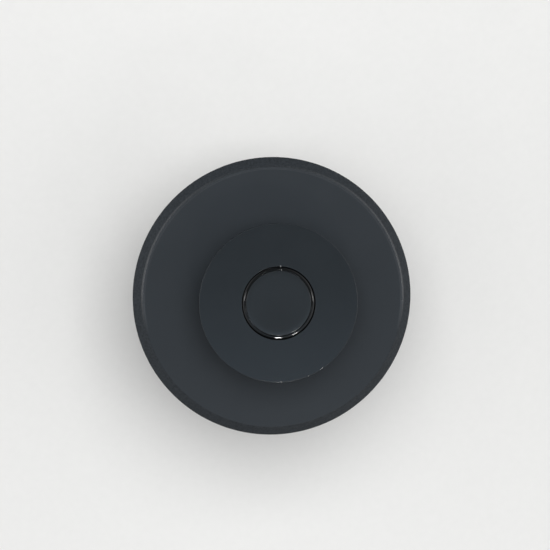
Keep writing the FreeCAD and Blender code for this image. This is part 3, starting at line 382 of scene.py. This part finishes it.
def with_band(shade, where, radius, tint, roughness, height, specular):
    """A finish's colour, roughness, relief and gloss, with the band and its painted shade beyond a radius.
    """
    share = shade.beyond(where, radius, BAND_SOFTNESS)
    rubbed = rubbed_edge(shade, where, radius)
    pebbles = shade.noise(where, 1 / BAND_GRAIN, detail=2.0)

    # Painted shade: the band's colour is darker where its grain is low, in its hollows.
    painted_pebble_shade = shade.ranged(pebbles, NOISE_SPAN, BAND_PAINTED_SHADE)
    painted_band_shade = shade.total(shade.product(painted_pebble_shade, share), shade.rest(share))
    tint = shade.mixed(painted_band_shade, BLACK, tint)
    roughness = shade.product(roughness, shade.rest(shade.product(rubbed, RUB_SMOOTHING)))
    height = shade.total(height, shade.product(shade.product(pebbles, BAND_DEPTH), share))
    gloss = shade.maths("MAXIMUM", shade.product(rubbed, RUB_GLOSS), shade.product(share, BAND_GLOSS))
    return tint, roughness, height, shade.maths("MAXIMUM", gloss, specular)


def surface(name, colour, spread=0.12, rough=(0.35, 0.45), grain=0.25, depth=0.01, metal=0.0, specular=0.5,
            stretch=(1, 1, 1), band_from=None):
    """A finish with mottled colour, uneven roughness and a grain. Grain and depth are in millimetres.

    Beyond band_from, if given, the moulding has the flange's coarser band with painted shade."""
    material = bpy.data.materials.new(name)
    shade = Shading(material)
    where = shade.add("TexCoord").outputs["Object"]
    broad = shade.noise(where, MOTTLE_WAVES, detail=4.0)
    fine = shade.noise(where, 1 / (grain * MM), stretch=stretch)
    mottle = shade.product(shade.total(broad, fine), 0.5)
    dark = tuple(c * (1 - spread) for c in colour)
    light = tuple(min(1, c * (1 + spread)) for c in colour)
    tint = shade.mixed(shade.ranged(mottle, NOISE_SPAN), dark, light)
    roughness = shade.ranged(broad, NOISE_SPAN, rough)
    height = shade.product(fine, depth * MM)
    if band_from:
        finish = with_band(shade, where, band_from, tint, roughness, height, specular)
        tint, roughness, height, specular = finish

    bump = shade.add("Bump")
    bump.inputs["Strength"].default_value = 1.0
    bump.inputs["Distance"].default_value = 1.0
    shade.feed(bump.inputs["Height"], height)
    shader = shade.nodes["Principled BSDF"]
    shade.feed(shader.inputs["Base Color"], tint)
    shade.feed(shader.inputs["Roughness"], roughness)
    shade.feed(shader.inputs["Metallic"], metal)
    shade.feed(shader.inputs["Specular IOR Level"], specular)
    shade.feed(shader.inputs["Normal"], bump.outputs["Normal"])
    return material


FINISHES = {
    "flange_plastic": dict(colour=(0.0304, 0.0356, 0.0412), spread=0.05, rough=(0.42, 0.48), grain=0.12,
                           depth=0.0012, specular=0.05, band_from=FLANGE_RADIUS - BAND_WIDTH),
    "cap_plastic": dict(colour=(0.015, 0.0191, 0.0228), spread=0.03, rough=(0.15, 0.17), grain=0.1,
                        depth=0.0001),
    "button_plastic": dict(colour=(0.0168, 0.0208, 0.0242), spread=0.03, rough=(0.14, 0.16), grain=0.1,
                           depth=0.0001),
    "trim_plastic": dict(colour=(0.003, 0.0035, 0.004), spread=0.05, rough=(0.06, 0.08), grain=0.1,
                         depth=0.0001),
    "drum_plastic": dict(colour=(0.02, 0.023, 0.026), rough=(0.36, 0.46), grain=0.3, depth=0.004),
    "sleeve_plastic": dict(colour=(0.022, 0.024, 0.027), rough=(0.4, 0.55), grain=0.35, depth=0.008),
    "gasket_rubber": dict(colour=(0.012, 0.012, 0.013), rough=(0.7, 0.85), grain=0.2, depth=0.01),
    "zinc_steel": dict(colour=(0.62, 0.63, 0.62), rough=(0.3, 0.42), grain=0.6, depth=0.002, metal=1.0),
    "bright_steel": dict(colour=(0.66, 0.66, 0.66), rough=(0.14, 0.22), grain=0.2, depth=0.001,
                         metal=1.0, stretch=(1, 1, 0.05)),
    "screw_steel": dict(colour=(0.5, 0.5, 0.5), rough=(0.25, 0.36), grain=0.2, depth=0.002, metal=1.0),
    "spring_steel": dict(colour=(0.42, 0.42, 0.43), rough=(0.22, 0.32), grain=0.15, depth=0.002,
                         metal=1.0),
    "bush_brass": dict(colour=(0.68, 0.47, 0.2), rough=(0.22, 0.34), grain=0.2, depth=0.002,
                       metal=1.0, stretch=(0.2, 0.2, 1)),
    "board_laminate": dict(colour=(0.012, 0.07, 0.03), spread=0.2, rough=(0.3, 0.42), grain=0.4,
                           depth=0.006),
    "shell_steel": dict(colour=(0.68, 0.68, 0.67), rough=(0.2, 0.3), grain=0.15, depth=0.0015,
                        metal=1.0, stretch=(0.1, 1, 1)),
    "insulator_plastic": dict(colour=(0.02, 0.02, 0.022), rough=(0.4, 0.5), grain=0.2, depth=0.003),
    "contact_gold": dict(colour=(0.83, 0.58, 0.2), spread=0.06, rough=(0.16, 0.26), grain=0.1,
                         depth=0.001, metal=1.0),
    "inlet_plastic": dict(colour=(0.018, 0.018, 0.02), rough=(0.38, 0.5), grain=0.25, depth=0.005),
    "can_aluminium": dict(colour=(0.72, 0.72, 0.73), rough=(0.25, 0.36), grain=0.2, depth=0.002,
                          metal=1.0, stretch=(1, 1, 0.1)),
    "coil_ferrite": dict(colour=(0.045, 0.043, 0.042), spread=0.25, rough=(0.55, 0.7), grain=0.2,
                         depth=0.01),
    "chip_plastic": dict(colour=(0.016, 0.016, 0.017), rough=(0.5, 0.62), grain=0.1, depth=0.004),
    "connector_plastic": dict(colour=(0.62, 0.6, 0.54), spread=0.05, rough=(0.4, 0.5), grain=0.3,
                              depth=0.004),
    "ribbon_plastic": dict(colour=(0.3, 0.31, 0.32), spread=0.08, rough=(0.42, 0.55), grain=0.3,
                           depth=0.006),
    "latch_acetal": dict(colour=(0.7, 0.69, 0.65), spread=0.04, rough=(0.36, 0.46), grain=0.4,
                         depth=0.004),
}
MATERIALS = {name: surface(name + "_finish", **finish) for name, finish in FINISHES.items()}


def finish_cad_nodes():
    """Give every CAD node the finish of its slot."""
    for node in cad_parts.values():
        for place in node.material_slots:
            place.material = MATERIALS[place.material.name.split(".")[0]]


def finished(piece, slot, body, node):
    """Dress a piece, let it ride with its body, and hide the CAD node that it stands for."""
    piece.data.materials.append(MATERIALS[slot])
    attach(piece, body)
    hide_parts(node)


# The flange, its gasket and the ring nut


def make_flange():
    """The ring on the desk: satin top, a sloping band at the rim, and the guide tube inside."""
    tube = GUIDE_BORE + GUIDE_WALL
    groove_inner = SLEEVE_RADIUS + 1.3 * MM
    groove_outer = FLANGE_RADIUS - 1.4 * MM
    guide_edge = 0.3 * MM
    under_edge = 0.2 * MM
    rim_edge = 0.43 * MM
    band_edge = 0.45 * MM
    body = spun(softened([
        (GUIDE_BORE, GUIDE_END, guide_edge), (tube, GUIDE_END, guide_edge),
        (tube, FLANGE_UNDER, under_edge), (groove_inner, FLANGE_UNDER), (groove_inner, GASKET_TOP),
        (groove_outer, GASKET_TOP), (groove_outer, FLANGE_UNDER), (FLANGE_RADIUS, FLANGE_UNDER, under_edge),
        (FLANGE_RADIUS, FLANGE_TOP - BAND_DROP, rim_edge),
        (FLANGE_RADIUS - BAND_WIDTH, FLANGE_TOP, band_edge),
        (GUIDE_BORE, FLANGE_TOP, guide_edge),
    ]), segments=360)

    boss_bore, boss_radius, boss_height, boss_edge = 0.8 * MM, 1.6 * MM, 2.0 * MM, 0.15 * MM
    boss = ring(boss_bore, boss_radius, FLANGE_UNDER - boss_height, FLANGE_UNDER, boss_edge, segments=48)
    bosses = [placed(boss, spoke(angle, BEZEL_RING)) for angle in SOCKET_ANGLES]
    piece = mesh_object("flange", *joined([body] + bosses))
    finished(piece, "flange_plastic", "base", "bezel_flange")


def make_gasket():
    """A soft ring with two low lips that press on the desk."""
    width = 3.6 * MM
    inner = GASKET_OUTER - width
    top = GASKET_TOP - 0.05 * MM
    web = 0.12 * MM
    lip_half = 0.7 * MM
    lip_edge = 0.25 * MM
    outer_edge = 0.1 * MM
    lip_places = (0.22, 0.78)
    corners = [(inner, top), (inner, web, lip_edge)]
    for share in lip_places:
        crest = inner + share * width
        corners += [(crest - lip_half, web, lip_edge), (crest, 0.0), (crest + lip_half, web, lip_edge)]
    corners += [(GASKET_OUTER, web, outer_edge), (GASKET_OUTER, top)]
    piece = mesh_object("gasket", *spun(softened(corners), segments=180))
    finished(piece, "gasket_rubber", "base", "flange_gasket")


def make_nut():
    """The ring nut: finger grips with soft valleys, and a plain shoulder above them."""
    grips = 18
    points_per_grip = 24
    segments = grips * points_per_grip
    grip_tip = box_radius("clamp_nut")
    bore = SLEEVE_RADIUS + 0.1 * MM
    shoulder_low = NUT_HIGH - 1.0 * MM
    edge = 0.35 * MM
    small, half = edge * 0.3, edge * 0.5
    valley = 0.2
    fullness = 0.6

    def grip_radius(i):
        wave = math.cos(math.tau * i / points_per_grip)
        swell = max(0.0, (wave - valley) / (1 - valley)) ** fullness
        return NUT_SHOULDER + (grip_tip - NUT_SHOULDER) * swell

    def loop(level, inset=0.0, plain=None):
        points = []
        for i in range(segments):
            radius = plain if plain else grip_radius(i) - inset
            turn = math.tau * i / segments
            points.append(Vector((radius * math.cos(turn), radius * math.sin(turn), level)))
        return points

    loops = [
        loop(NUT_LOW, plain=bore + edge), loop(NUT_LOW, inset=edge), loop(NUT_LOW + small, inset=small),
        loop(NUT_LOW + edge), loop(shoulder_low - edge), loop(shoulder_low, inset=edge),
        loop(shoulder_low, plain=NUT_SHOULDER), loop(NUT_HIGH - half, plain=NUT_SHOULDER),
        loop(NUT_HIGH, plain=NUT_SHOULDER - half), loop(NUT_HIGH, plain=bore + edge),
        loop(NUT_HIGH - edge, plain=bore), loop(NUT_LOW + edge, plain=bore),
    ]
    piece = mesh_object("ring_nut", *loft(loops, closed=True), crease=38)
    finished(piece, "sleeve_plastic", "nut", "clamp_nut")


# The turret


def make_cap():
    """The turret's top disc with its softened rim, the button's bore and three screw posts."""
    bore = TRIM_OUTER + 0.02 * MM
    bore_edge = 0.05 * MM
    rim_edge = 0.08 * MM
    lower_edge = 0.25 * MM
    disc = spun(softened([
        (bore, CAP_UNDER), (CAP_RADIUS, CAP_UNDER, lower_edge), (CAP_RADIUS, CAP_TOP, rim_edge),
        (bore, CAP_TOP, bore_edge),
    ]), segments=320)

    post_bore, post_radius, post_edge = 1.0 * MM, 2.0 * MM, 0.1 * MM
    post = ring(post_bore, post_radius, BOARD_TOP, CAP_UNDER, post_edge, segments=48)
    posts = [placed(post, spoke(angle, BOSS_RING)) for angle in PILLAR_ANGLES]
    piece = mesh_object("cap", *joined([disc] + posts))
    finished(piece, "cap_plastic", "turret", "turret_cap")


def make_trim():
    """The glossy bead round the button: highest near its inner edge, with a long round shoulder."""
    width = 0.95 * MM
    shoulder = 0.78 * MM
    lower_edge = 0.1 * MM
    inner_edge = 0.06 * MM
    inner = TRIM_OUTER - width
    profile = softened([(inner, CAP_UNDER, lower_edge), (TRIM_OUTER, CAP_UNDER, lower_edge),
                        (TRIM_OUTER, CAP_TOP, shoulder), (inner, CAP_TOP, inner_edge)])
    piece = mesh_object("trim_ring", *spun(profile, segments=320))
    finished(piece, "trim_plastic", "turret", "button_trim")


def make_button():
    """The round button with a softened edge, a faintly dished face, and its stem."""
    radius = BUTTON_RADIUS
    top_edge = 0.12 * MM
    lower_edge = 0.15 * MM
    under = CAP_TOP - BUTTON_THICKNESS
    dish = 0.06 * MM
    dish_steps = ((0.86, 0.15), (0.45, 0.7), (0, 1))
    face = [(radius * share, CAP_TOP - dish * depth) for share, depth in dish_steps]
    stem = 1.5 * MM
    stem_root = 0.3 * MM
    stem_tip = 0.4 * MM
    stem_end = low_of("centre_button")
    groove = 1.1 * MM
    groove_low = BOARD_UNDER - 0.6 * MM
    profile = softened([
        (0, stem_end), (stem, stem_end, stem_tip),
        (stem, groove_low), (groove, groove_low), (groove, BOARD_UNDER), (stem, BOARD_UNDER),
        (stem, under, stem_root), (radius, under, lower_edge), (radius, CAP_TOP, top_edge),
    ] + face, closed=False)
    piece = mesh_object("button", *spun(profile, segments=256, closed=False))
    finished(piece, "button_plastic", "button", "centre_button")


def make_button_spring():
    """The coil between the socket board and the button's underside."""
    top = CAP_TOP - BUTTON_THICKNESS
    coil = helix(radius=2.6 * MM, wire=0.175 * MM, low=BOARD_TOP, high=top, turns=5)
    piece = mesh_object("return_coil", *coil, crease=60)
    finished(piece, "spring_steel", "turret", "button_spring")
    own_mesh(piece)


# Sockets


def socket_shell(half_width, half_height, back, corner):
    """A drawn tube along X, with an outside, an inside and a rounded lip."""
    outer_width, outer_height, outer_corner = half_width + SHEET, half_height + SHEET, corner + SHEET
    lip = SHEET / 2
    lip_parts = 6
    steps = [(back, 0), (MOUTH - lip, 0)]
    for i in range(1, lip_parts):
        turn = math.pi * i / lip_parts
        steps.append((MOUTH - lip + lip * math.sin(turn), lip * (1 - math.cos(turn))))
    steps += [(MOUTH - lip, SHEET), (back, SHEET)]
    loops = []
    for at, inset in steps:
        outline = rounded_rectangle(outer_width - inset, outer_height - inset, outer_corner - inset)
        loops.append([Vector((at, p.x, p.y)) for p in outline])
    return loft(loops, closed=True)


def spring_finger(across, level, back, facing):
    """A bent leaf in a shell's wall, with a bulge to the inside that ends a little before it does."""
    half_width = 0.65 * MM
    rise = 0.55 * MM
    length = 4.2 * MM
    thickness = SHEET * 0.6
    bulge_length = length / 1.1
    steps = 10
    loops = []
    for i in range(steps + 1):
        along = length * i / steps
        inner = level - facing * rise * math.sin(math.pi * min(1.0, along / bulge_length))
        outer = inner + facing * thickness
        corners = ((-half_width, inner), (half_width, inner), (half_width, outer), (-half_width, outer))
        loops.append([Vector((back + along, across + y, z)) for y, z in corners])
    return loft(loops, caps=True)


def insulator_block(back, half_width, half_height, corner):
    """The moulding that closes a socket's back, just clear of its shell."""
    return rounded_block((back + INSULATOR_PLAY, back + INSULATOR_DEPTH),
                         around(0, half_width - INSULATOR_PLAY),
                         around(0, half_height - INSULATOR_PLAY), corner)


def contact_blades(run, across, levels, half_width, half_thickness):
    """Thin flat contacts along X, at each place across the tongue on each of its levels."""
    edge = half_thickness * 0.8
    return [rounded_block(run, around(y, half_width), around(level, half_thickness), edge)
            for level in levels for y in across]


def make_usb_a(number, angle):
    """A type A socket: rounded steel shell with bearing leaves, tongue and four contacts."""
    node = f"usb_a_{number}"
    name = f"type_a_{number}"
    low, high = low_of(node + "_shell"), high_of(node + "_shell")
    half_height = (high - low) / 2 - SHEET
    half_width = 6.25 * MM
    corner = 0.5 * MM
    place = spoke(angle, 0, (low + high) / 2)

    leaf_across = 2.5 * MM
    leaf_back = MOUTH - 7.2 * MM
    parts = [socket_shell(half_width, half_height, TYPE_A_BACK, corner)]
    for facing in (-1, 1):
        for across in (-leaf_across, leaf_across):
            parts.append(spring_finger(across, facing * half_height, leaf_back, facing))
    shell = mesh_object(name + "_shell", *placed(joined(parts), place), crease=50)
    finished(shell, "shell_steel", "turret", node + "_shell")

    tongue_half_width = 5.55 * MM
    tongue_top = half_height - 0.7 * MM
    tongue_low = tongue_top - 1.84 * MM
    tongue_end = MOUTH - 1.4 * MM
    block = insulator_block(TYPE_A_BACK, half_width, half_height, 0.4 * MM)
    tongue = rounded_block((TYPE_A_BACK + TONGUE_ROOT, tongue_end), around(0, tongue_half_width),
                           (tongue_low, tongue_top), radius=0.25 * MM, edge=0.3 * MM)
    insulator = mesh_object(name + "_tongue", *placed(joined([block, tongue]), place))
    finished(insulator, "insulator_plastic", "turret", node + "_insulator")

    run = (TYPE_A_BACK + INSULATOR_DEPTH, tongue_end - 1.0 * MM)
    across = (-3.5 * MM, -1.0 * MM, 1.0 * MM, 3.5 * MM)
    blades = contact_blades(run, across, [tongue_low], half_width=0.5 * MM, half_thickness=0.1 * MM)
    contacts = mesh_object(name + "_contacts", *placed(joined(blades), place))
    finished(contacts, "contact_gold", "turret", node + "_contacts")


def make_usb_c(angle):
    """The type C socket: a drawn oval shell, a thin tongue and contacts on both its faces."""
    half_height = 1.28 * MM
    half_width = 4.17 * MM
    back = MOUTH - TYPE_C_DEPTH
    place = spoke(angle, 0, low_of("usb_c_shell") + SHEET + half_height)
    tube = socket_shell(half_width, half_height, back, corner=half_height)
    shell = mesh_object("type_c_shell", *placed(tube, place), crease=50)
    finished(shell, "shell_steel", "turret", "usb_c_shell")

    tongue_half_width = 3.345 * MM
    tongue_half_thickness = 0.35 * MM
    tongue_end = MOUTH - 0.8 * MM
    block = insulator_block(back, half_width, half_height, half_height)
    tongue = rounded_block((back + TONGUE_ROOT, tongue_end), around(0, tongue_half_width),
                           around(0, tongue_half_thickness), radius=0.12 * MM, edge=0.18 * MM)
    insulator = mesh_object("type_c_tongue", *placed(joined([block, tongue]), place))
    finished(insulator, "insulator_plastic", "turret", "usb_c_tongue")

    count = 7
    pitch = 0.8 * MM
    run = (back + INSULATOR_DEPTH, tongue_end - 0.6 * MM)
    across = [(index - (count - 1) / 2) * pitch for index in range(count)]
    faces = around(0, tongue_half_thickness)
    blades = contact_blades(run, across, faces, half_width=0.2 * MM, half_thickness=0.05 * MM)
    contacts = mesh_object("type_c_contacts", *placed(joined(blades), place))
    finished(contacts, "contact_gold", "turret", "usb_c_contacts")


# Inside the sleeve


def make_lift_springs():
    """Three coils round the pillars."""
    low, high = low_of("lift_springs"), high_of("lift_springs")
    wire = 0.25 * MM
    play = 0.4 * MM
    coil = helix(radius=PILLAR_RADIUS + play + wire, wire=wire, low=low, high=high, turns=8)
    coils = [placed(coil, spoke(angle, PILLAR_RING)) for angle in PILLAR_ANGLES]
    piece = mesh_object("lift_coils", *joined(coils), crease=60)
    finished(piece, "spring_steel", "base", "lift_springs")
    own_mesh(piece)


def make_ribbon():
    """The flat lead with its ribbed conductors and its slack in one bow."""
    near = 12.5 * MM
    bow = 6.0 * MM
    half_width = 2.5 * MM
    thickness = 0.4 * MM
    connector = 3.0 * MM
    straight = 1.0 * MM
    low, high = low_of("power_ribbon"), high_of("power_ribbon")
    bow_low = BASE_BOARD_TOP + connector + straight
    bow_high = PLATE_UNDER - straight
    ribs = 6
    points_per_rib = 4
    valley = 0.28
    steps = 80

    def section(at, level, normal):
        points = []
        count = ribs * points_per_rib
        for face in (1, -1):
            for i in range(count + 1):
                share = i / count if face > 0 else 1 - i / count
                swell = 1 - valley + valley * abs(math.sin(math.pi * share * ribs))
                across = -half_width + 2 * half_width * share
                offset = normal * face * thickness / 2 * swell
                points.append(Vector((at + offset.x, across, level + offset.y)))
        return points

    loops = []
    for i in range(steps + 1):
        level = low + (high - low) * i / steps
        share = min(1.0, max(0.0, (level - bow_low) / (bow_high - bow_low)))
        at = near + bow * (1 - math.cos(math.tau * share)) / 2
        lean = math.pi * bow / (bow_high - bow_low) * math.sin(math.tau * share)
        normal = Vector((1, -lean)).normalized()
        loops.append(section(at, level, normal))
    piece = mesh_object("ribbon", *loft(loops, caps=True), crease=70)
    finished(piece, "ribbon_plastic", "base", "power_ribbon")
    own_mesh(piece)


# The room: floor, light and camera


def make_floor():
    """A plain pale floor under the charger."""
    half = 3.0
    pale_grey = (0.78, 0.78, 0.77)
    corners = [(x, y, BASE_UNDER) for x, y in ((-half, -half), (half, -half), (half, half), (-half, half))]
    floor = mesh_object("floor", corners, [(0, 1, 2, 3)])
    floor.data.materials.append(surface("floor_paint", pale_grey, spread=0.015, rough=(0.7, 0.8), grain=2.0,
                                        depth=0.01))


def area_light(name, place, size, power, colour=(1, 1, 1), aim=(0, 0, 0)):
    """A rectangular lamp turned to what it lights. Metres and watts."""
    lamp = bpy.data.lights.new(name, "AREA")
    lamp.shape = "RECTANGLE"
    lamp.size, lamp.size_y = size
    lamp.energy = power
    lamp.color = colour
    light = bpy.data.objects.new(name, lamp)
    light.location = place
    light.rotation_euler = (Vector(aim) - Vector(place)).to_track_quat("-Z", "Y").to_euler()
    bpy.context.scene.collection.objects.link(light)
    return light


def glint_light(name, **how):
    """A lamp that shows as a reflection only."""
    area_light(name, **how).visible_diffuse = False


def aloft(azimuth, tilt, distance):
    """A place seen from the turret at so many degrees round and off the upright."""
    turn, lean = math.radians(azimuth), math.radians(tilt)
    out = math.sin(lean)
    return Vector((out * math.cos(turn), out * math.sin(turn), math.cos(lean))) * distance


def make_light():
    """One big soft lamp high on the far side, and lamps that show only as reflections.

    The overhead one gives the disc its cool sheen, and the strips and sparks put glints on edges."""
    key = area_light("key", place=aloft(95, 16, 1.7), size=(1.3, 1.3), power=25)
    key.visible_glossy = False
    glint_light("overhead", place=(0.15, -0.5, 1.5), aim=(0.15, -0.5, 0), size=(1.1, 0.61), power=1.15,
                colour=(0.62, 0.8, 1))
    glint_light("strip_left", place=aloft(183, 24, 1.2), size=(0.1, 0.4), power=0.8)
    glint_light("strip_right", place=aloft(356, 34, 1.2), size=(0.1, 0.4), power=0.8)
    glint_light("spark_front", place=aloft(279, 36, 1.0), size=(0.08, 0.12), power=5.5)
    glint_light("spark_side", place=aloft(301.5, 38.4, 1.0), size=(0.06, 0.08), power=3.5)


def make_room():
    """A dim room whose left and right walls are brighter than its front, back and ceiling."""
    dim = 0.1
    walls = 1.3
    world = bpy.data.worlds.new("room")
    bpy.context.scene.world = world
    shade = Shading(world)
    direction = shade.add("SeparateXYZ")
    shade.feed(direction.inputs[0], shade.add("TexCoord").outputs["Generated"])
    sideways = shade.maths("POWER", shade.maths("ABSOLUTE", direction.outputs[0]), 2)
    background = shade.nodes["Background"]
    shade.feed(background.inputs["Color"], (1, 1, 1, 1))
    shade.feed(background.inputs["Strength"], shade.total(shade.product(sideways, walls), dim))


def make_camera():
    """Nearly straight above, a little to the upper left, with the picture's up along +Y."""
    place = Vector((-56.35, 60.4, 553.9)) * MM
    aim = Vector((0.72, 5.54, 0.0)) * MM
    back = (place - aim).normalized()
    right = Vector((0, 1, 0)).cross(back).normalized()
    up = back.cross(right)
    lens = bpy.data.cameras.new("camera")
    lens.lens = 142
    lens.sensor_width = 36
    lens.clip_start = 0.01
    camera = bpy.data.objects.new("camera", lens)
    turn = Matrix((right, up, back)).transposed().to_4x4()
    camera.matrix_world = Matrix.Translation(place) @ turn
    bpy.context.scene.collection.objects.link(camera)
    bpy.context.scene.camera = camera


finish_cad_nodes()
make_flange()
make_gasket()
make_nut()
make_cap()
make_trim()
make_button()
make_button_spring()
for socket_number, socket_angle in enumerate(SOCKET_ANGLES[:2], 1):
    make_usb_a(socket_number, socket_angle)
make_usb_c(SOCKET_ANGLES[2])
make_lift_springs()
make_ribbon()
make_floor()
make_light()
make_room()
make_camera()
bpy.context.scene.view_settings.view_transform = "Standard"
